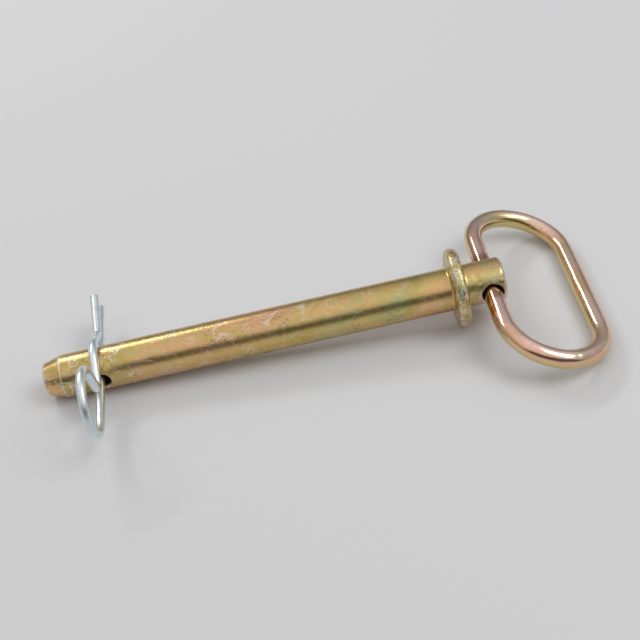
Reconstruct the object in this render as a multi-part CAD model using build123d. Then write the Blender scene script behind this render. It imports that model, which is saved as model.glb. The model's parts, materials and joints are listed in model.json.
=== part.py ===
"""A forged hitch pin: a shank with a collar, a swinging loop handle and a spring clip.

The pieces are drawn along the pin's own axis (+X towards the head, x = 0 at the collar's
underside, the cross holes along Y) and then laid down the way the pin comes to rest: on the
collar's rim and the nose's shoulder, with the loop handle's grip on the floor at z = 0.
"""
from build123d import *
import os
from math import asin, atan2, cos, degrees, hypot, pi, sin, sqrt

# ---- driving dimensions, mm ----
SHANK_DIA = 19.05
USABLE_LENGTH = 156.0        # collar underside to the clip hole
TIP_LENGTH = 25.0            # clip hole to the end of the nose
NOSE_LENGTH = 8.0
NOSE_END_DIA = 14.6
NOSE_EDGE = 0.8

COLLAR_DIA = 34.9
COLLAR_THICKNESS = 5.6
COLLAR_EDGE = 2.4
COLLAR_ROOT = 1.2            # fillet where the collar meets the shank

HEAD_LENGTH = 17.8           # top of the collar to the head's end
HEAD_EDGE = 2.2
HANDLE_HOLE_SETBACK = 6.6    # the hole's axis back from the head's end
HANDLE_HOLE_PLAY = 1.2       # hole diameter less the rod's
CLIP_HOLE_PLAY = 3.5         # hole diameter less the wire's

HANDLE_ROD_DIA = 8.2
HANDLE_SPAN = 54.6           # straight length of the loop's long sides
HANDLE_DROP = 43.4           # between the centre lines of the long sides
HANDLE_JOINT_GAP = 0.8       # where the rod's two ends meet inside the head
HANDLE_SAG = 0.4             # how far the rod sits below the hole's centre

CLIP_WIRE_DIA = 4.0
CLIP_LEG_REACH = 39.7        # hole's centre to the straight leg's end
CLIP_RING_REACH = 35.4       # hole's centre to the ring's centre
CLIP_RING_DIA = 27.0         # centre line
CLIP_NOTCH_REACH = 16.5
CLIP_NOTCH_RADIUS = 3.2
CLIP_NECK_REACH = 17.0
CLIP_NECK_RADIUS = 5.0
CLIP_TIP_REACH = 37.2
CLIP_TIP_RISE = 9.2          # wavy leg's end above the straight leg
CLIP_LIFT = 0.8              # straight leg above the hole's centre
CLIP_SHIFT = 0.9             # straight leg off the hole's centre, towards the nose
SEAT_GAP = 0.25              # between the clip's wavy leg and the shank
LEG_GAP = 0.4                # between the clip's two legs where they come closest

# ---- worked out from them ----
SHANK_R = SHANK_DIA / 2
COLLAR_R = COLLAR_DIA / 2
ROD_R = HANDLE_ROD_DIA / 2
WIRE_R = CLIP_WIRE_DIA / 2
HANDLE_HOLE_DIA = HANDLE_ROD_DIA + HANDLE_HOLE_PLAY
CLIP_HOLE_DIA = CLIP_WIRE_DIA + CLIP_HOLE_PLAY
NOSE_X = -(USABLE_LENGTH + TIP_LENGTH)
SHOULDER_X = NOSE_X + NOSE_LENGTH
HEAD_X = COLLAR_THICKNESS + HEAD_LENGTH
HINGE_X = HEAD_X - HANDLE_HOLE_SETBACK


def side_profile():
    """Half section of the forged pin, in the XY plane above the X axis."""
    with BuildSketch(Plane.XY) as profile:
        with BuildLine():
            Polyline(
                (NOSE_X, 0),
                (NOSE_X, NOSE_END_DIA / 2),
                (SHOULDER_X, SHANK_R),
                (0, SHANK_R),
                (0, COLLAR_R),
                (COLLAR_THICKNESS, COLLAR_R),
                (COLLAR_THICKNESS, SHANK_R),
                (HEAD_X, SHANK_R),
                (HEAD_X, 0),
                close=True,
            )
        make_face()
    face = profile.sketch.face()

    def corner(x, r):
        return face.vertices().sort_by_distance((x, r, 0))[0]

    rounding = (
        (NOSE_X, NOSE_END_DIA / 2, NOSE_EDGE),
        (0, SHANK_R, COLLAR_ROOT),
        (0, COLLAR_R, COLLAR_EDGE),
        (COLLAR_THICKNESS, COLLAR_R, COLLAR_EDGE),
        (COLLAR_THICKNESS, SHANK_R, COLLAR_ROOT),
        (HEAD_X, SHANK_R, HEAD_EDGE),
    )
    for x, r, radius in rounding:
        face = face.fillet_2d(radius, [corner(x, r)])
    return face


def cross_hole(x, diameter):
    """A drill along Y through the pin's axis."""
    return Pos(x, 0, 0) * Rot(90, 0, 0) * Cylinder(diameter / 2, COLLAR_DIA)


def make_pin():
    body = revolve(side_profile(), Axis.X, 360)
    body -= cross_hole(HINGE_X, HANDLE_HOLE_DIA)
    body -= cross_hole(-USABLE_LENGTH, CLIP_HOLE_DIA)
    return body.solid()


def swept_rod(path, diameter):
    """A round rod along a path, with plain cut ends."""
    start = Plane(origin=path @ 0, z_dir=path % 0)
    return sweep(start * Circle(diameter / 2), path=path).solid()


def make_handle():
    """The bent loop in its own XY plane: hinge side on the Y axis, grip at +X."""
    half, gap, bend = HANDLE_SPAN / 2, HANDLE_JOINT_GAP / 2, HANDLE_DROP / 2
    with BuildLine() as loop:
        Line((0, gap), (0, half))
        RadiusArc((0, half), (HANDLE_DROP, half), bend)
        Line((HANDLE_DROP, half), (HANDLE_DROP, -half))
        RadiusArc((HANDLE_DROP, -half), (0, -half), bend)
        Line((0, -half), (0, -gap))
    return swept_rod(loop.wires()[0], HANDLE_ROD_DIA)


def belt_path(stations):
    """Lines and arcs that run from the first station to the last and bend round those between.

    A station is (u, v, radius, sense): sense is +1 where the path turns left, -1 where it turns
    right, and 0 at the two ends.
    """
    runs = []
    for here, there in zip(stations, stations[1:]):
        du, dv = there[0] - here[0], there[1] - here[1]
        offset = there[3] * there[2] - here[3] * here[2]
        heading = atan2(dv, du) - atan2(offset, sqrt(du * du + dv * dv - offset * offset))
        ends = [
            (u + sense * radius * sin(heading), v - sense * radius * cos(heading))
            for u, v, radius, sense in (here, there)
        ]
        runs.append((heading, ends))
    with BuildLine() as path:
        for index, (heading, ends) in enumerate(runs):
            Line(*ends)
            if index + 1 < len(runs):
                u, v, radius, sense = stations[index + 1]
                turn = sense * ((sense * (runs[index + 1][0] - heading)) % (2 * pi))
                CenterArc((u, v), radius, degrees(heading) - 90 * sense, degrees(turn))
    return path.wires()[0]


def make_clip():
    """The spring clip in its own XY plane: origin on the pin's axis, tips towards +X."""
    seat = SHANK_R + SEAT_GAP + WIRE_R
    low = CLIP_LIFT + CLIP_WIRE_DIA + LEG_GAP
    ring = CLIP_RING_DIA / 2
    stations = (
        (CLIP_LEG_REACH, CLIP_LIFT, 0, 0),
        (-CLIP_RING_REACH, CLIP_LIFT + ring, ring, -1),
        (-CLIP_NOTCH_REACH, low + CLIP_NOTCH_RADIUS, CLIP_NOTCH_RADIUS, 1),
        (0, 0, seat, -1),
        (CLIP_NECK_REACH, low + CLIP_NECK_RADIUS, CLIP_NECK_RADIUS, 1),
        (CLIP_TIP_REACH, CLIP_LIFT + CLIP_TIP_RISE, 0, 0),
    )
    return swept_rod(belt_path(stations), CLIP_WIRE_DIA)


def lean_angle():
    """Degrees that the pin's axis climbs towards the head when it lies on collar and shoulder."""
    run = COLLAR_EDGE - SHOULDER_X
    rise = COLLAR_R - COLLAR_EDGE - SHANK_R
    return degrees(atan2(rise, run) + asin(COLLAR_EDGE / hypot(run, rise)))


def rest_place():
    """The pin's own frame once it lies on the floor, with the shank's shoulder over x = 0."""
    lean = lean_angle()
    shoulder_height = SHANK_R * cos(lean * pi / 180)
    return Pos(0, 0, shoulder_height) * Rot(0, -lean, 0) * Pos(-SHOULDER_X, 0, 0)


def laid_down():
    """The three pieces at rest on the floor, before the part's origin is set."""
    rest = rest_place()
    hinge = (rest * Pos(HINGE_X, 0, -HANDLE_SAG)).position
    drop = degrees(asin((hinge.Z - ROD_R) / HANDLE_DROP))
    # the clip's own X runs along +Y and its own Y runs up from the pin's axis
    clip_plane = Pos(-USABLE_LENGTH - CLIP_SHIFT, 0, 0) * Rot(0, 0, 90) * Rot(90, 0, 0)
    return {
        "pin": rest * make_pin(),
        "handle": Pos(hinge) * Rot(0, drop, 0) * make_handle(),
        "clip": rest * clip_plane * make_clip(),
    }


def origin_place(pieces):
    """Moves the whole part so that its box stands centred on the origin."""
    box = Compound(list(pieces.values())).bounding_box()
    centre = box.center()
    return Pos(-centre.X, -centre.Y, -box.min.Z)


def main():
    pieces = laid_down()
    origin = origin_place(pieces)
    os.makedirs("parts", exist_ok=True)
    for name, shape in pieces.items():
        placed = origin * shape
        placed.label = name
        export_step(placed, f"parts/{name}.step")


main()
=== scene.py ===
"""Finish and studio for a hitch pin: forged body, swinging loop handle and spring clip."""
import json
import math

import bpy
import numpy as np
from mathutils import Matrix, Vector


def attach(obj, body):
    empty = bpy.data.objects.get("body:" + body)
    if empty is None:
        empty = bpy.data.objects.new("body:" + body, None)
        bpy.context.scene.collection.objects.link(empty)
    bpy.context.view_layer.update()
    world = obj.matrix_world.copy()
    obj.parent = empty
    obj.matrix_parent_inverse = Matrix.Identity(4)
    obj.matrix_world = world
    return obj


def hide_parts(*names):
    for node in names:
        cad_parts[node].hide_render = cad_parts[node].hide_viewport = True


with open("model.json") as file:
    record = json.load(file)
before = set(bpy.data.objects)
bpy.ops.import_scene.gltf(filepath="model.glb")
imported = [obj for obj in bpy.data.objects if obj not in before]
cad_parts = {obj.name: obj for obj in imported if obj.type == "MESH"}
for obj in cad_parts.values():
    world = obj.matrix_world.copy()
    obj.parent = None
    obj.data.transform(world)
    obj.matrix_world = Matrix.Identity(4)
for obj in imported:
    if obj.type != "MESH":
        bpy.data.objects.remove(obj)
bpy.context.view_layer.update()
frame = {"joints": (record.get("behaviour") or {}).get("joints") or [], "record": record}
MM = 0.001

# ---- sizes of the forged pin along its own axis, mm; 0 is the collar's underside ----
SHANK_R = 9.525
NOSE_X, SHOULDER_X = -181.0, -173.0
NOSE_END_R, NOSE_EDGE = 7.3, 0.8
COLLAR_R, COLLAR_THICKNESS, COLLAR_EDGE, COLLAR_ROOT = 17.45, 5.6, 2.4, 1.2
HEAD_X, HEAD_EDGE = 23.4, 2.2
HINGE_X, HANDLE_HOLE_R, HANDLE_SAG = 16.8, 4.7, 0.4
CLIP_X, CLIP_HOLE_R = -156.0, 3.75
HOLE_EDGE = 0.55

# ---- how finely the pin's surface is divided ----
AROUND = 144                    # points round the bar
HOLE_BLOCK, HALF_TURN = 5.6, 16  # reach of the block round a hole's mouth: mm along, points round
RING_ROWS, RING_SPREAD = 15, 1.6  # rings in that block, and how they crowd towards the rim
BORE_ROWS = 9
ROD_AROUND, WIRE_AROUND = 64, 48

# ---- the loop handle ----
ROD_R = 4.1
HANDLE_SPAN, HANDLE_DROP, JOINT_GAP = 54.6, 43.4, 0.8

# ---- the spring clip, seen along the pin's axis ----
WIRE_R = 2.0
CLIP_SHIFT, CLIP_LIFT = 0.9, 0.8
LEG_REACH, RING_REACH, RING_R = 39.7, 35.4, 13.5
NOTCH_REACH, NOTCH_R, NECK_REACH, NECK_R = 16.5, 3.2, 17.0, 5.0
TIP_REACH, TIP_RISE, SEAT_GAP, LEG_GAP = 37.2, 9.2, 0.25, 0.4

# ---- camera ----
CAMERA_AIM = (0.0010, 0.0014, 0.0126)
CAMERA_AZIMUTH, CAMERA_ELEVATION, CAMERA_ROLL = 1.21, 41.72, 9.97
CAMERA_DISTANCE, CAMERA_LENS = 0.5305, 68.0


# ================= places taken from the frame =================

def mount_named(name):
    """The record's mount of that name."""
    return next(m for m in frame["record"]["mounts"] if m["name"] == name)


def joint_named(name):
    """The frame's joint of that name."""
    return next(j for j in frame["joints"] if j["name"] == name)


PIN_X = -np.array(mount_named("shank")["axis"], float)
PIN_Y = np.array([0.0, 1.0, 0.0])
PIN_Z = np.cross(PIN_X, PIN_Y)
HINGE = np.array(joint_named("handle_swing")["pos_m"], float)
PIN_ORIGIN = HINGE - (HINGE_X * PIN_X - HANDLE_SAG * PIN_Z) * MM


def pin_place(points):
    """Points in the pin's own frame, mm, to the part's frame, m: origin + x X + y Y + z Z."""
    return PIN_ORIGIN + (np.asarray(points) * MM) @ np.stack([PIN_X, PIN_Y, PIN_Z])


# ================= mesh helpers =================

def make_piece(name, points, faces, body, node, material, layers=None):
    """A smooth-shaded mesh from point and face arrays, standing for one CAD node on its body.

    Points that no face uses are dropped. A triangle is a quad that names its last corner twice.
    """
    used, faces = np.unique(faces, return_inverse=True)
    faces = faces.reshape(-1, 4)
    mesh = bpy.data.meshes.new(name)
    points = np.asarray(points)[used]
    tri = faces[:, 2] == faces[:, 3]
    polygons = [tuple(f[:3]) if t else tuple(f) for f, t in zip(faces.tolist(), tri.tolist())]
    mesh.from_pydata(points.tolist(), [], polygons)
    mesh.shade_smooth()
    for layer, values in (layers or {}).items():
        attribute = mesh.attributes.new(layer, "FLOAT", "POINT")
        attribute.data.foreach_set("value", np.asarray(values, np.float32)[used])
    mesh.materials.append(material)
    piece = bpy.data.objects.new(name, mesh)
    bpy.context.scene.collection.objects.link(piece)
    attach(piece, body)
    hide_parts(node)
    return piece


def strip_faces(lower, painted_light_facing, closed=True):
    """Quads between two rows of point numbers."""
    if closed:
        lower_next, upper_next = np.roll(lower, -1), np.roll(painted_light_facing, -1)
    else:
        lower, lower_next, painted_light_facing, upper_next = lower[:-1], lower[1:], painted_light_facing[:-1], painted_light_facing[1:]
    return np.stack([lower, lower_next, upper_next, painted_light_facing], axis=-1).reshape(-1, 4)


def arc(centre_x, centre_r, radius, start, end, count=9):
    """Points of a circle in the (x, r) plane: centre + radius (cos a, sin a), a in degrees."""
    angle = np.radians(np.linspace(start, end, count))
    return np.stack([centre_x + radius * np.cos(angle), centre_r + radius * np.sin(angle)], axis=-1)


# ================= the forged pin =================

def pin_profile():
    """Half section from the nose's centre to the head's centre, as (x, r) rows.

    Straight stretches are divided evenly and each rounded corner is a quarter circle or, at the
    nose and the shoulder, the part of one that joins its two slopes.
    """
    def run(start, end, step):
        count = max(1, int(round(math.dist(start, end) / step)))
        return np.linspace(start, end, count, endpoint=False)

    slope = math.degrees(math.atan2(SHANK_R - NOSE_END_R, SHOULDER_X - NOSE_X))
    nose_arc = arc(NOSE_X + NOSE_EDGE, NOSE_END_R - 0.85 * NOSE_EDGE, NOSE_EDGE, 180, 90 + slope, 7)
    block = HOLE_BLOCK
    parts = [
        run((NOSE_X, 0.05), nose_arc[0], 0.7),
        nose_arc,
        run(nose_arc[-1], (SHOULDER_X - 0.5, SHANK_R - 0.16), 0.5)[1:],
        [
            (SHOULDER_X - 0.5, SHANK_R - 0.16),
            (SHOULDER_X - 0.2, SHANK_R - 0.07),
            (SHOULDER_X, SHANK_R - 0.02),
        ],
        run((SHOULDER_X + 0.3, SHANK_R), (CLIP_X - block, SHANK_R), 0.7),
        run((CLIP_X - block, SHANK_R), (CLIP_X + block, SHANK_R), 0.56),
        run((CLIP_X + block, SHANK_R), (-COLLAR_ROOT, SHANK_R), 0.8),
        arc(-COLLAR_ROOT, SHANK_R + COLLAR_ROOT, COLLAR_ROOT, 270, 360, 7),
        run((0, SHANK_R + COLLAR_ROOT), (0, COLLAR_R - COLLAR_EDGE), 0.6)[1:],
        arc(COLLAR_EDGE, COLLAR_R - COLLAR_EDGE, COLLAR_EDGE, 180, 90, 11),
        run((COLLAR_EDGE, COLLAR_R), (COLLAR_THICKNESS - COLLAR_EDGE, COLLAR_R), 0.4)[1:],
        arc(COLLAR_THICKNESS - COLLAR_EDGE, COLLAR_R - COLLAR_EDGE, COLLAR_EDGE, 90, 0, 11),
        run((COLLAR_THICKNESS, COLLAR_R - COLLAR_EDGE), (COLLAR_THICKNESS, SHANK_R + COLLAR_ROOT), 0.6)[1:],
        arc(COLLAR_THICKNESS + COLLAR_ROOT, SHANK_R + COLLAR_ROOT, COLLAR_ROOT, 180, 270, 7),
        run((COLLAR_THICKNESS + COLLAR_ROOT, SHANK_R), (HINGE_X - block, SHANK_R), 0.6)[1:],
        run((HINGE_X - block, SHANK_R), (HEAD_X - HEAD_EDGE, SHANK_R), 0.5),
        arc(HEAD_X - HEAD_EDGE, SHANK_R - HEAD_EDGE, HEAD_EDGE, 90, 0, 13),
        run((HEAD_X, SHANK_R - HEAD_EDGE), (HEAD_X, 0.05), 0.7)[1:],
        [(HEAD_X, 0.05)],
    ]
    return np.concatenate([np.asarray(part, float).reshape(-1, 2) for part in parts])


def ripple(x, angle, seed, waves=14, longest=40.0, shortest=3.0):
    """Smooth random relief on a round bar: a sum of cosines in x and whole turns in angle, -1 to 1."""
    rng = np.random.default_rng(seed)
    total = np.zeros(np.broadcast(x, angle).shape)
    for _ in range(waves):
        length = math.exp(rng.uniform(math.log(shortest), math.log(longest)))
        turns = rng.integers(-8, 9)
        total = total + np.cos(2 * math.pi * x / length + turns * angle + rng.uniform(0, 2 * math.pi))
    return total / math.sqrt(waves) / 2


def dents(x, angle, radius, marks):
    """Shallow hollows: for each (x, degrees, size, depth), depth exp(-(distance / size)^2)."""
    depth = np.zeros(np.broadcast(x, angle).shape)
    for mark_x, mark_degrees, size, deep in marks:
        swing = (angle - math.radians(mark_degrees) + math.pi) % (2 * math.pi) - math.pi
        depth += deep * np.exp(-((x - mark_x) ** 2 + (swing * radius) ** 2) / size ** 2)
    return depth


SHANK_MARKS = [
    (-168.0, 24, 1.4, 0.12), (-163.5, 40, 1.1, 0.10), (-176.5, 30, 0.9, 0.16), (-177.5, 46, 0.8, 0.14),
    (-147.0, 50, 1.6, 0.10), (-133.0, 35, 1.9, 0.08), (-118.0, 62, 1.5, 0.09), (-96.0, 44, 2.2, 0.08),
    (-70.0, 55, 1.7, 0.08), (-41.0, 38, 2.0, 0.07), (-22.0, 60, 1.4, 0.09), (-60.0, -40, 2.2, 0.10),
    (-110.0, -70, 2.0, 0.09), (-30.0, 140, 2.1, 0.10), (-90.0, 160, 2.4, 0.10), (-140.0, 200, 1.8, 0.10),
    (3.0, 52, 1.3, 0.18), (2.0, 70, 1.0, 0.20), (4.2, 20, 1.1, 0.18), (3.4, -15, 1.2, 0.16),
    (10.5, 60, 1.2, 0.14), (12.0, 42, 1.0, 0.16), (22.0, 42, 1.2, 0.14), (9.5, -30, 1.3, 0.12),
]


def pin_relief(x, radius, angle):
    """How far the forged skin lies under its nominal radius, mm: waves, hammer marks and dents."""
    wave = 0.018 * (1 + ripple(x, angle, 3))
    collar = np.clip((radius - SHANK_R) / (COLLAR_R - SHANK_R), 0, 1)
    lumps = 0.12 * collar * (1 + ripple(x, angle, 5, longest=12, shortest=4)) / 2
    head = (x > COLLAR_THICKNESS) * 0.05 * (1 + ripple(x, angle, 9, longest=9, shortest=3)) / 2
    fade = np.clip(radius / 2.0, 0, 1)
    return fade * (wave + lumps + head + dents(x, angle, SHANK_R, SHANK_MARKS))


def hole_distance(x, z, hole_x, hole_r):
    """Distance from a cross hole's axis in the (x, z) plane, less the hole's radius."""
    return np.hypot(x - hole_x, z) - hole_r


def pin_points(x, radius, angle):
    """Points of the turned surface: (x, -r cos a, r sin a), sunk by the relief and the hole edges.

    Within HOLE_EDGE of a cross hole's rim the surface falls on a quarter circle into the bore.
    """
    z = radius * np.sin(angle)
    depth = pin_relief(x, radius, angle)
    for hole_x, hole_r in ((CLIP_X, CLIP_HOLE_R), (HINGE_X, HANDLE_HOLE_R)):
        gap = np.clip(hole_distance(x, z, hole_x, hole_r), 0, HOLE_EDGE)
        near = np.abs(x - hole_x) < hole_r + 2
        edge = HOLE_EDGE - np.sqrt(HOLE_EDGE ** 2 - (HOLE_EDGE - gap) ** 2)
        depth = depth + np.where(near & (np.abs(z) < hole_r + 2), edge, 0)
    sunk = radius - depth
    return np.stack([x, -sunk * np.cos(angle), sunk * np.sin(angle)], axis=-1)


def pin_wear(points):
    """Where the plating is rubbed to bare steel, 0 to 1: collar rim, shoulder and hole edges."""
    x, y, z = points[:, 0], points[:, 1], points[:, 2]
    radius = np.hypot(y, z)
    rim = 0.55 * np.clip((radius - COLLAR_R + 3.4) / 2.0, 0, 1)
    shoulder = np.exp(-((x - SHOULDER_X) / 0.7) ** 2)
    nose = np.exp(-((radius - NOSE_END_R) / 0.6) ** 2) * (x < NOSE_X + 2)
    handle_hole = np.clip(hole_distance(x, z, HINGE_X, HANDLE_HOLE_R), 0, 9)
    clip_hole = np.clip(hole_distance(x, z, CLIP_X, CLIP_HOLE_R), 0, 9)
    head = np.exp(-(handle_hole / 3.6) ** 2) * (x > 8)
    head_edge = np.clip((x - HEAD_X + 3.0) / 2.0, 0, 1) * np.clip((radius - 5) / 3, 0, 1) * 0.7
    clip = 0.6 * np.exp(-(clip_hole / 0.8) ** 2) * (x < -140)
    rubbed = [rim, 0.74 * shoulder, 0.62 * nose, 0.62 * head, 0.92 * head_edge, clip]
    return np.clip(np.maximum.reduce(rubbed), 0, 1)


def pin_bore(points):
    """How deep a point lies inside the two cross holes: 0 outside and at the mouths, up to 1 deeper in. This
    is the mask of the bores' painted shade.
    """
    x, y, z = points[:, 0], points[:, 1], points[:, 2]
    inside = np.zeros(len(points))
    for hole_x, hole_r in ((CLIP_X, CLIP_HOLE_R), (HINGE_X, HANDLE_HOLE_R)):
        in_hole = hole_distance(x, z, hole_x, hole_r) < 0.05
        depth = np.sqrt(np.clip(SHANK_R ** 2 - z ** 2, 0, None)) - np.abs(y)
        inside = np.maximum(inside, in_hole * np.clip((depth - 0.2) / 1.2, 0, 1))
    return inside


def make_pin(material):
    """The turned surface as a grid of profile stations by angles, with two drilled cross holes.

    Round each mouth a block of the grid is replaced by rings that run from the block's edge to
    the hole's rim, and rows of points join the two rims through the bar.
    """
    profile = pin_profile()
    xs, rs = profile[:, 0], profile[:, 1]
    angles = np.arange(AROUND) * 2 * math.pi / AROUND
    grid = pin_points(np.repeat(xs[:, None], AROUND, 1), rs[:, None], angles[None, :]).reshape(-1, 3)
    number = np.arange(len(xs) * AROUND).reshape(len(xs), AROUND)
    cells = np.stack([
        number[:-1], np.roll(number, -1, 1)[:-1], np.roll(number, -1, 1)[1:], number[1:],
    ], axis=-1)
    keep = np.ones(cells.shape[:2], bool)
    points, faces = [grid], []
    total = len(grid)
    ring_share = np.linspace(0, 1, RING_ROWS)[:-1] ** RING_SPREAD
    half_turn = HALF_TURN
    for hole_x, hole_r, first_x, last_x in (
        (CLIP_X, CLIP_HOLE_R, CLIP_X - HOLE_BLOCK, CLIP_X + HOLE_BLOCK),
        (HINGE_X, HANDLE_HOLE_R, HINGE_X - HOLE_BLOCK, HEAD_X - 0.35),
    ):
        on_bar = np.abs(rs - SHANK_R) < HEAD_EDGE + 0.1
        in_block = (xs > first_x - 1e-6) & (xs < last_x + 1e-6)
        near = np.where(on_bar & in_block & (np.abs(xs - hole_x) < 8))[0]
        low, high = near[0], near[-1]
        rims = []
        for mouth in (0, AROUND // 2):
            turn = 1 if mouth == 0 else -1
            j = mouth + turn * np.arange(-half_turn, half_turn + 1)
            i_up, i_down = np.arange(low, high), np.arange(high, low, -1)
            loop_i = np.concatenate([
                i_up, np.full(2 * half_turn, high), i_down, np.full(2 * half_turn, low),
            ])
            loop_j = np.concatenate([
                np.full(len(i_up), j[0]), j[:-1], np.full(len(i_down), j[-1]), j[:0:-1],
            ])
            edge_x, edge_angle = xs[loop_i], loop_j * 2 * math.pi / AROUND
            edge_r = rs[loop_i]
            bearing = np.arctan2(edge_r * np.sin(edge_angle), edge_x - hole_x)
            rim_x, rim_z = hole_x + hole_r * np.cos(bearing), hole_r * np.sin(bearing)
            bar_r = np.interp(rim_x, xs[low:high + 1], rs[low:high + 1])
            rim_angle = np.arcsin(np.clip(rim_z / bar_r, -1, 1))
            rim_angle = rim_angle if mouth == 0 else math.pi - rim_angle
            ring_x = rim_x + (edge_x - rim_x) * ring_share[:, None]
            ring_angle = rim_angle + (edge_angle - rim_angle) * ring_share[:, None]
            ring_r = np.interp(ring_x, xs[low:high + 1], rs[low:high + 1])
            rings = pin_points(ring_x, ring_r, ring_angle)
            rows = total + np.arange(rings.shape[0] * rings.shape[1]).reshape(rings.shape[:2])
            total += rows.size
            points.append(rings.reshape(-1, 3))
            rows = np.vstack([rows, (loop_i * AROUND + loop_j % AROUND)[None]])
            for inner, outer in zip(rows[:-1], rows[1:]):
                quads = strip_faces(inner, outer)
                faces.append(quads if mouth == 0 else quads[:, ::-1])
            rims.append((rows[0], rings[0]))
            columns = np.arange(min(j), max(j)) % AROUND
            keep[np.ix_(np.arange(low, high), columns)] = False
        (near_rim, near_points), (far_rim, far_points) = rims
        share = np.linspace(0, 1, BORE_ROWS + 2)[1:-1]
        middle = near_points + (far_points - near_points) * share[:, None, None]
        rows = total + np.arange(middle.shape[0] * middle.shape[1]).reshape(middle.shape[:2])
        total += rows.size
        points.append(middle.reshape(-1, 3))
        rows = np.vstack([near_rim[None], rows, far_rim[None]])
        for inner, outer in zip(rows[:-1], rows[1:]):
            faces.append(strip_faces(outer, inner))
    faces.append(cells[keep])
    for row, x, flip in ((number[0], xs[0], True), (number[-1], xs[-1], False)):
        points.append(np.array([[x, 0.0, 0.0]]))
        hub = np.full(AROUND, total)
        total += 1
        fan = np.stack([row, np.roll(row, -1), hub, hub], axis=-1)
        faces.append(fan if not flip else fan[:, [1, 0, 2, 3]])
    points = np.concatenate(points)
    faces = np.concatenate(faces)[:, ::-1]
    tri = faces[:, 0] == faces[:, 1]
    faces[tri] = faces[tri][:, [1, 2, 3, 3]]
    layers = {"wear_and_joint_shade": pin_wear(points), "bore": pin_bore(points), "along": points[:, 0]}
    return make_piece("pin_skin", pin_place(points), faces, "pin", "pin", material, layers)


# ================= bent rods =================

def route(stations, step):
    """Points of lines and arcs from the first station to the last, bending round those between.

    A station is (u, v, radius, sense): sense is +1 where the path turns left, -1 where it turns
    right and 0 at the two ends. Each run is the common tangent of two circles.
    """
    runs = []
    for here, there in zip(stations, stations[1:]):
        du, dv = there[0] - here[0], there[1] - here[1]
        offset = there[3] * there[2] - here[3] * here[2]
        heading = math.atan2(dv, du) - math.atan2(offset, math.sqrt(du * du + dv * dv - offset * offset))
        normal = np.array([math.sin(heading), -math.cos(heading)])
        ends = [np.array(s[:2]) + s[3] * s[2] * normal for s in (here, there)]
        runs.append((heading, ends))
    pieces = []
    for index, (heading, (start, end)) in enumerate(runs):
        count = max(2, int(math.dist(start, end) / step))
        pieces.append(np.linspace(start, end, count, endpoint=False))
        if index + 1 < len(runs):
            u, v, radius, sense = stations[index + 1]
            turn = sense * ((sense * (runs[index + 1][0] - heading)) % (2 * math.pi))
            count = max(6, int(abs(turn) * radius / step))
            angle = heading + np.linspace(0, turn, count, endpoint=False)
            reach = sense * radius
            pieces.append(np.stack([u + reach * np.sin(angle), v - reach * np.cos(angle)], axis=-1))
        else:
            pieces.append(end[None])
    return np.concatenate(pieces)


def smooth_route(points, passes):
    """The same path with each inner point moved towards the middle of its neighbours."""
    for _ in range(passes):
        points = points.copy()
        points[1:-1] = 0.25 * points[:-2] + 0.5 * points[1:-1] + 0.25 * points[2:]
    return points


def bent_rod(path, radius, around, relief):
    """A round rod in the (u, v) plane: path + r (cos a normal + sin a w), with bevelled cut ends.

    Returns (points as (u, v, w), quads, distance along, angle). relief(along, angle) sinks the skin.
    """
    tangent = np.gradient(path, axis=0)
    tangent /= np.linalg.norm(tangent, axis=1)[:, None]
    normal = np.stack([-tangent[:, 1], tangent[:, 0]], axis=-1)
    along = np.concatenate([[0], np.cumsum(np.linalg.norm(np.diff(path, axis=0), axis=1))])
    bevel = np.array([0.0, 0.55, 0.88, 0.955, 1.0])
    inset = np.array([0.0, 0.0, 0.0, 0.02, 0.09]) * radius
    length = along[-1]
    rows = np.concatenate([inset, along[(along > inset[-1] + 0.1) & (along < length - inset[-1] - 0.1)],
                           length - inset[::-1]])
    size = np.concatenate([bevel, np.ones(len(rows) - 10), bevel[::-1]])
    centre = np.stack([np.interp(rows, along, path[:, k]) for k in (0, 1)], axis=-1)
    side = np.stack([np.interp(rows, along, normal[:, k]) for k in (0, 1)], axis=-1)
    angle = np.arange(around) * 2 * math.pi / around
    reach = (radius - relief(rows[:, None], angle[None, :])) * size[:, None]
    flat = centre[:, None, :] + (reach * np.cos(angle))[..., None] * side[:, None, :]
    points = np.concatenate([flat, (reach * np.sin(angle))[..., None]], axis=-1).reshape(-1, 3)
    number = np.arange(len(rows) * around).reshape(len(rows), around)
    quads = np.concatenate([strip_faces(a, b) for a, b in zip(number[:-1], number[1:])])
    return points, quads, np.repeat(rows, around), np.tile(angle, len(rows))


def close_ends(quads, around):
    """The rod's first and last rows lie on one point each: the quads there become fans on a pole.

    A triangle is written as a quad that names its last corner twice.
    """
    faces = quads.copy()
    faces[:around] = np.stack([
        np.full(around, quads[0, 0]), quads[:around, 2], quads[:around, 3], quads[:around, 3],
    ], axis=-1)
    faces[-around:, 2:] = quads[-1, 3]
    return faces


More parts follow.
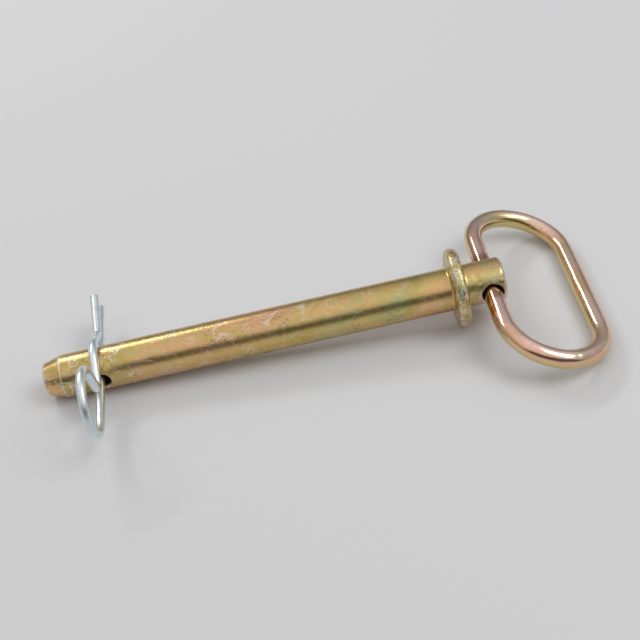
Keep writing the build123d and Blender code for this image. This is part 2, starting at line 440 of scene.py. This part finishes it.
def make_handle(material):
    """The stadium loop: four straight or half-round stretches, its ends inside the head's hole."""
    half, bend, gap = HANDLE_SPAN / 2, HANDLE_DROP / 2, JOINT_GAP / 2
    stations = ((0, gap, 0, 0), (bend, half, bend, -1), (bend, -half, bend, -1), (0, -gap, 0, 0))
    path = smooth_route(route(stations, 0.55), 30)

    def relief(along, angle):
        wave = 0.02 * (1 + ripple(along, angle, 21, longest=30, shortest=6))
        return wave + dents(along, angle, ROD_R, [
            (38.0, 60, 0.9, 0.08), (150.0, 80, 0.8, 0.10), (166.0, 40, 0.9, 0.10), (172.0, 20, 0.7, 0.10),
            (180.0, 60, 1.0, 0.08), (110.0, 200, 1.2, 0.08), (90.0, 90, 0.9, 0.07),
        ])

    points, quads, along, angle = bent_rod(path, ROD_R, ROD_AROUND, relief)
    faces = close_ends(quads, ROD_AROUND)
    drop = math.asin((HINGE[2] / MM - ROD_R) / HANDLE_DROP)
    out = np.array([math.cos(drop), 0, -math.sin(drop)])
    normal = np.array([math.sin(drop), 0, math.cos(drop)])
    placed = HINGE + MM * (points[:, :1] * out + points[:, 1:2] * PIN_Y + points[:, 2:] * normal)
    # painted shade mask: 1 within the shank's half width of the hinge line and up to 16 mm out from the hinge,
    # where the loop's ends go into the head's hole, fading beyond
    painted_joint_shade = np.exp(-(np.clip(np.abs(points[:, 1]) - SHANK_R, 0, None) / 8) ** 2) * (points[:, 0] < 16)
    layers = {"wear_and_joint_shade": painted_joint_shade, "along": along, "turn": angle}
    return make_piece("handle_loop", placed, faces, "handle", "handle", material, layers)


def make_clip(material):
    """The spring clip: straight leg, ring, notch, hump over the shank, neck and flared tip."""
    low = CLIP_LIFT + 2 * WIRE_R + LEG_GAP
    stations = (
        (LEG_REACH, CLIP_LIFT, 0, 0),
        (-RING_REACH, CLIP_LIFT + RING_R, RING_R, -1),
        (-NOTCH_REACH, low + NOTCH_R, NOTCH_R, 1),
        (0, 0, SHANK_R + SEAT_GAP + WIRE_R, -1),
        (NECK_REACH, low + NECK_R, NECK_R, 1),
        (TIP_REACH, CLIP_LIFT + TIP_RISE, 0, 0),
    )
    path = smooth_route(route(stations, 0.4), 8)

    def relief(along, angle):
        draw = 0.012 * (1 + np.cos(9 * angle + 0.05 * along))
        return draw + 0.012 * (1 + ripple(along, angle, 33, longest=25, shortest=4))

    points, quads, along, angle = bent_rod(path, WIRE_R, WIRE_AROUND, relief)
    faces = close_ends(quads, WIRE_AROUND)
    own = np.stack([np.full(len(points), CLIP_X - CLIP_SHIFT), points[:, 0], points[:, 1]], axis=-1)
    own[:, 0] += points[:, 2]
    ends = np.exp(-along / 0.8) + np.exp(-(along.max() - along) / 0.8)
    layers = {"wear_and_joint_shade": np.clip(ends, 0, 1), "along": along, "turn": angle}
    return make_piece("clip_wire", pin_place(own), faces, "clip", "clip", material, layers)


# ================= material helpers =================

class Nodes:
    """A node tree, with one short call for each kind of node."""

    def __init__(self, owner, place):
        owner.use_nodes = True
        self.tree = owner.node_tree
        self.place = self.node("ShaderNodeTexCoord").outputs[place]

    def node(self, kind, inputs=None, **settings):
        """A node with its settings, its inputs linked or set."""
        made = self.tree.nodes.new(kind)
        for key, value in settings.items():
            setattr(made, key, value)
        for key, value in (inputs or {}).items():
            if isinstance(value, bpy.types.NodeSocket):
                self.tree.links.new(value, made.inputs[key])
            else:
                made.inputs[key].default_value = value
        return made

    def turned(self, scale, turn=(0, 0, 0)):
        """The place, stretched and turned, for a pattern that runs its own way."""
        inputs = {"Vector": self.place, "Scale": scale, "Rotation": turn}
        return self.node("ShaderNodeMapping", inputs).outputs[0]

    def noise(self, scale, detail=3.0, rough=0.55, where=None, bend=0.0):
        """Fractal noise, about 0.5 in the middle."""
        return self.node("ShaderNodeTexNoise", {
            "Vector": where or self.place, "Scale": scale, "Detail": detail, "Roughness": rough,
            "Distortion": bend,
        }).outputs["Fac"]

    def layer(self, name):
        """One of the mesh's own point layers."""
        return self.node("ShaderNodeAttribute", attribute_name=name).outputs["Fac"]

    def steps(self, value, low, high, smooth=True):
        """0 at low, 1 at high, held beyond them; high may lie under low."""
        made = self.node("ShaderNodeMapRange", {
            "Value": value, "From Min": low, "From Max": high, "To Min": 0.0, "To Max": 1.0,
        }, interpolation_type="SMOOTHSTEP" if smooth else "LINEAR")
        return made.outputs[0]

    def span(self, value, low, high):
        """0 to 1 made low to high."""
        return self.node("ShaderNodeMapRange", {
            "Value": value, "From Min": 0.0, "From Max": 1.0, "To Min": low, "To Max": high,
        }).outputs[0]

    def maths(self, kind, a, b=0.0):
        """One step of arithmetic."""
        made = self.node("ShaderNodeMath", {0: a, 1: b}, operation=kind, use_clamp=False)
        return made.outputs[0]

    def blend(self, share, a, b, kind="MIX"):
        """Colour a where the share is 0, b where it is 1."""
        made = self.node("ShaderNodeMix", {"Factor": share}, data_type="RGBA", blend_type=kind)
        for socket, value in ((made.inputs[6], a), (made.inputs[7], b)):
            if isinstance(value, bpy.types.NodeSocket):
                self.tree.links.new(value, socket)
            else:
                socket.default_value = (*value, 1.0)
        return made.outputs[2]

    def ramp(self, value, stops):
        """A colour read from (place, colour) stops."""
        made = self.node("ShaderNodeValToRGB", {"Fac": value})
        elements = made.color_ramp.elements
        while len(elements) < len(stops):
            elements.new(0.5)
        for element, (at, colour) in zip(elements, stops):
            element.position = at
            element.color = (*colour, 1.0)
        return made.outputs["Color"]

    def hairlines(self, scale, stretch, turn, width):
        """Thin curling lines, where a smooth noise crosses its middle value."""
        wave = self.noise(scale, 1.5, 0.45, self.turned(stretch, turn), 0.4)
        off = self.maths("ABSOLUTE", self.maths("SUBTRACT", wave, 0.5))
        return self.steps(off, width, 0.0)

    def bump(self, height, strength, distance, after=None):
        """A fine relief, on top of another where one is given."""
        inputs = {"Height": height, "Strength": strength, "Distance": distance}
        if after is not None:
            inputs["Normal"] = after
        return self.node("ShaderNodeBump", inputs).outputs[0]


class Finish(Nodes):
    """A material on object coordinates; connect() fills its surface's sockets and returns it."""

    def __init__(self, name):
        self.material = bpy.data.materials.new(name)
        super().__init__(self.material, "Object")
        self.surface = self.tree.nodes["Principled BSDF"]

    def connect(self, **sockets):
        """Each socket linked to a node or set to a constant; returns the material."""
        for name, value in sockets.items():
            socket = self.surface.inputs[name.replace("_", " ")]
            if isinstance(value, bpy.types.NodeSocket):
                self.tree.links.new(value, socket)
            else:
                socket.default_value = value
        return self.material


# ================= finishes =================

def yellow_zinc():
    """Scuffed yellow passivated zinc: olive gold with green, orange and pink clouds."""
    s = Finish("yellow_zinc")
    clouds = s.noise(70, 4, 0.6, s.turned((0.55, 1, 1)), 0.6)
    colour = s.ramp(clouds, [
        (0.28, (0.46, 0.38, 0.12)), (0.42, (0.64, 0.46, 0.16)), (0.52, (0.72, 0.47, 0.20)),
        (0.62, (0.78, 0.44, 0.22)), (0.75, (0.70, 0.42, 0.32)),
    ])
    green = s.steps(s.noise(38, 3, 0.6, s.turned((1, 1.4, 1), (0.4, 0.2, 0.1))), 0.52, 0.70)
    colour = s.blend(s.maths("MULTIPLY", green, 0.55), colour, (0.42, 0.50, 0.24))
    pink = s.steps(s.noise(120, 3, 0.65, s.turned((0.8, 1, 1), (0, 0.5, 0.9))), 0.56, 0.70)
    colour = s.blend(s.maths("MULTIPLY", pink, 0.5), colour, (0.80, 0.52, 0.44))
    # dirt in fine specks, thickest in patches
    patch = s.steps(s.noise(55, 3, 0.6), 0.45, 0.65)
    specks = s.steps(s.noise(900, 3, 0.7), 0.52, 0.64)
    grime = s.maths("MULTIPLY", s.maths("MULTIPLY", specks, patch), 0.65)
    colour = s.blend(grime, colour, (0.10, 0.085, 0.045))
    # rubbed and scratched places show pale metal
    wear_and_joint_shade = s.layer("wear_and_joint_shade")
    mottle = s.maths("ADD", s.noise(1100, 4, 0.8), s.maths("MULTIPLY", s.noise(300, 3, 0.6), 0.6))
    bare = s.steps(s.maths("ADD", wear_and_joint_shade, mottle), 1.30, 1.48)
    left = s.steps(s.layer("along"), -30.0, -165.0, smooth=False)
    broken = s.steps(s.noise(95, 3, 0.6), 0.46, 0.56)
    arcs = s.maths("MAXIMUM", s.hairlines(85, (0.5, 1, 1), (0.3, 0.4, 0.2), 0.015),
                   s.hairlines(150, (0.7, 1, 1), (0.9, 0.1, 0.7), 0.020))
    arcs = s.maths("MULTIPLY", s.maths("MULTIPLY", arcs, broken), s.span(left, 0.30, 0.95))
    arcs = s.maths("MULTIPLY", arcs, s.steps(s.layer("along"), -180.7, -179.0))
    scuffs = s.steps(s.noise(620, 4, 0.8, s.turned((0.40, 1, 1), (0.2, 0.3, 0.3))), 0.565, 0.66)
    scuffs = s.maths("MULTIPLY", scuffs, s.span(left, 0.35, 1.0))
    pale = s.maths("MAXIMUM", bare, s.maths("MAXIMUM", arcs, s.maths("MULTIPLY", scuffs, 0.55)))
    colour = s.blend(pale, colour, (0.78, 0.75, 0.64))
    pits = s.maths("MULTIPLY", s.steps(s.noise(620, 4, 0.75), 0.53, 0.64), wear_and_joint_shade)
    colour = s.blend(s.maths("MULTIPLY", pits, 0.75), colour, (0.14, 0.12, 0.07))
    # painted shade: the cross holes' bores are coloured dark brown, more fully the deeper in
    bore = s.layer("bore")
    colour = s.blend(bore, colour, (0.14, 0.06, 0.04))
    rough = s.span(s.noise(240, 4, 0.65), 0.16, 0.40)
    rough = s.maths("ADD", rough, s.maths("MULTIPLY", pale, 0.12))
    rough = s.maths("ADD", rough, s.maths("MULTIPLY", s.maths("ADD", grime, bore), 0.3))
    shape = s.bump(s.noise(260, 4, 0.65), 0.26, 0.00012)
    shape = s.bump(s.noise(1500, 3, 0.7), 0.28, 0.00006, shape)
    shape = s.bump(s.maths("ADD", s.maths("MULTIPLY", arcs, -1.0), s.maths("MULTIPLY", pits, -2.0)),
                   0.5, 0.00008, shape)
    return s.connect(Base_Color=colour, Metallic=1.0, Roughness=rough, Normal=shape)


def polished_zinc():
    """Smooth bright zinc: pink copper gold with green clouds, a painted pink-white highlight along the rod's
    top, painted straw-green sheen on the rod's sides and underside, and painted shade where its ends enter the
    head.
    """
    s = Finish("polished_zinc")
    clouds = s.noise(45, 3, 0.5, s.turned((1, 0.5, 1)), 0.4)
    colour = s.ramp(clouds, [
        (0.30, (0.72, 0.54, 0.24)), (0.42, (0.82, 0.50, 0.28)), (0.55, (0.84, 0.46, 0.33)),
        (0.68, (0.86, 0.52, 0.42)), (0.80, (0.70, 0.58, 0.34)),
    ])
    # painted highlight: how far the rod's skin faces up, plus noise; the top is made near-white pink, and the
    # sides and underside get a painted straw-green edge sheen
    painted_light_facing = s.maths("ADD", s.maths("SINE", s.layer("turn")), s.span(s.noise(60, 3, 0.6), -0.9, 0.9))
    colour = s.blend(s.maths("MULTIPLY", s.steps(painted_light_facing, 0.45, 1.2), 0.8), colour, (0.97, 0.72, 0.66))
    painted_edge_sheen = s.steps(painted_light_facing, 0.60, -0.10)
    colour = s.blend(s.maths("MULTIPLY", painted_edge_sheen, 0.62), colour, (0.74, 0.62, 0.27))
    green = s.steps(s.noise(55, 2, 0.5, s.turned((1, 1, 1), (0.3, 0.8, 0.1))), 0.50, 0.66)
    colour = s.blend(s.maths("MULTIPLY", green, 0.45), colour, (0.60, 0.62, 0.36))
    specks = s.steps(s.noise(700, 3, 0.7), 0.58, 0.68)
    specks = s.maths("MULTIPLY", specks, s.steps(s.noise(60, 2, 0.6), 0.5, 0.7))
    colour = s.blend(s.maths("MULTIPLY", specks, 0.5), colour, (0.20, 0.13, 0.06))
    lines = s.maths("MULTIPLY", s.hairlines(120, (1, 1, 1), (0.6, 0.2, 0.9), 0.010),
                    s.steps(s.noise(80, 2, 0.5), 0.54, 0.62))
    # painted shade: dark reddish brown near the loop's ends where they enter the head's hole, broken up by
    # fine noise
    grain = s.maths("MULTIPLY", s.noise(700, 4, 0.75), 0.9)
    painted_joint_shade = s.steps(s.maths("ADD", s.layer("wear_and_joint_shade"), grain), 0.85, 1.25)
    colour = s.blend(s.maths("MULTIPLY", painted_joint_shade, 0.7), colour, (0.30, 0.13, 0.07))
    pale = s.maths("MULTIPLY", lines, 0.5)
    colour = s.blend(pale, colour, (0.82, 0.80, 0.72))
    rough = s.maths("ADD", s.span(s.noise(160, 3, 0.6), 0.08, 0.24), s.maths("MULTIPLY", pale, 0.15))
    shape = s.bump(s.noise(90, 2, 0.5), 0.35, 0.0004)
    shape = s.bump(lines, 0.3, 0.00005, shape)
    return s.connect(Base_Color=colour, Metallic=1.0, Roughness=rough, Normal=shape)


def clear_zinc():
    """Bluish white zinc wire with faint draw lines and a soft satin grain."""
    s = Finish("clear_zinc")
    clouds = s.noise(90, 3, 0.55)
    colour = s.ramp(clouds, [
        (0.35, (0.68, 0.76, 0.78)), (0.5, (0.84, 0.89, 0.91)), (0.65, (0.78, 0.87, 0.93)),
    ])
    yellow = s.steps(s.noise(140, 3, 0.6), 0.60, 0.74)
    colour = s.blend(s.maths("MULTIPLY", yellow, 0.25), colour, (0.74, 0.72, 0.56))
    dull = s.maths("MULTIPLY", s.steps(s.noise(600, 4, 0.7), 0.55, 0.68), 0.35)
    colour = s.blend(dull, colour, (0.36, 0.39, 0.40))
    cut = s.steps(s.layer("wear_and_joint_shade"), 0.5, 0.9)
    colour = s.blend(s.maths("MULTIPLY", cut, 0.6), colour, (0.40, 0.41, 0.40))
    line = s.node("ShaderNodeCombineXYZ", {
        "X": s.maths("MULTIPLY", s.layer("along"), 0.06), "Y": s.maths("MULTIPLY", s.layer("turn"), 3.0),
    }).outputs[0]
    drawn = s.noise(4, 2, 0.6, line)
    rough = s.span(s.noise(300, 3, 0.6), 0.26, 0.44)
    shape = s.bump(drawn, 0.15, 0.0001)
    shape = s.bump(s.noise(500, 3, 0.6), 0.2, 0.00005, shape)
    return s.connect(Base_Color=colour, Metallic=1.0, Roughness=rough, Normal=shape)


# ================= floor, light and camera =================

def make_floor():
    """One large pale matt square at z = 0."""
    size = 4.0
    mesh = bpy.data.meshes.new("floor")
    corners = [(-size, -size, 0), (size, -size, 0), (size, size, 0), (-size, size, 0)]
    mesh.from_pydata(corners, [], [(0, 1, 2, 3)])
    s = Finish("pale_floor")
    s.connect(Base_Color=(0.70, 0.70, 0.71, 1.0), Roughness=0.9)
    mesh.materials.append(s.material)
    floor = bpy.data.objects.new("floor", mesh)
    bpy.context.scene.collection.objects.link(floor)


def soft_box(name, place, aim, size, power):
    """A rectangular area light at a place, turned towards the point it lights."""
    lamp = bpy.data.lights.new(name, "AREA")
    lamp.shape = "RECTANGLE"
    lamp.size, lamp.size_y = size
    lamp.energy = power
    holder = bpy.data.objects.new(name, lamp)
    bpy.context.scene.collection.objects.link(holder)
    holder.location = place
    holder.rotation_euler = (Vector(aim) - Vector(place)).to_track_quat("-Z", "Y").to_euler()


# the room seen from the pin, from the front horizon (0) over the top (0.5) to the back (1)
ROOM = ((0.00, 0.42), (0.03, 0.14), (0.06, 0.11), (0.17, 0.09), (0.23, 0.74), (0.40, 0.80), (0.57, 0.76),
        (0.72, 0.54), (0.86, 0.28), (1.00, 0.22))
ROOM_ENDS = 0.42


def make_light():
    """A soft grey room, dark where the camera stands and low at the back, and two soft boxes.

    A direction's tone is read at atan2(z, -y) / pi, and along the pin's length, where that angle
    means nothing, it is one even tone.
    """
    world = bpy.data.worlds.new("room")
    bpy.context.scene.world = world
    n = Nodes(world, "Generated")
    x, y, z = n.node("ShaderNodeSeparateXYZ", {0: n.place}).outputs
    climb = n.maths("DIVIDE", n.maths("ARCTAN2", z, n.maths("MULTIPLY", y, -1.0)), math.pi)
    tones = n.ramp(climb, [(at, (tone, tone, tone)) for at, tone in ROOM])
    endways = n.steps(n.maths("ABSOLUTE", x), 0.66, 0.90)
    tones = n.blend(endways, tones, (ROOM_ENDS, ROOM_ENDS, ROOM_ENDS))
    n.tree.links.new(tones, n.tree.nodes["Background"].inputs["Color"])
    aim = (0, 0, 0.01)
    soft_box("back_box", (-0.52, 0.80, 0.78), aim, (0.62, 0.10), 3.0)
    soft_box("wide_box", (0.9, -0.3, 1.30), aim, (0.8, 0.8), 6.0)


def make_camera():
    """Looks at CAMERA_AIM from CAMERA_DISTANCE away and is rolled about its line of sight.

    The line of sight is (sin a cos e, cos a cos e, -sin e) for azimuth a and elevation e.
    """
    azimuth, elevation, roll = (math.radians(v) for v in (CAMERA_AZIMUTH, CAMERA_ELEVATION, CAMERA_ROLL))
    look = Vector((
        math.sin(azimuth) * math.cos(elevation), math.cos(azimuth) * math.cos(elevation), -math.sin(elevation),
    ))
    level = look.cross(Vector((0, 0, 1))).normalized()
    upright = level.cross(look)
    up = math.cos(roll) * upright + math.sin(roll) * level
    right = look.cross(up)
    turn = Matrix((right, up, -look)).transposed().to_4x4()
    lens = bpy.data.cameras.new("camera")
    lens.lens = CAMERA_LENS
    lens.sensor_width = 36.0
    lens.clip_start = 0.01
    camera = bpy.data.objects.new("camera", lens)
    bpy.context.scene.collection.objects.link(camera)
    camera.matrix_world = Matrix.Translation(Vector(CAMERA_AIM) - look * CAMERA_DISTANCE) @ turn
    bpy.context.scene.camera = camera


make_pin(yellow_zinc())
make_handle(polished_zinc())
make_clip(clear_zinc())
make_floor()
make_light()
make_camera()
bpy.context.scene.view_settings.view_transform = "Standard"
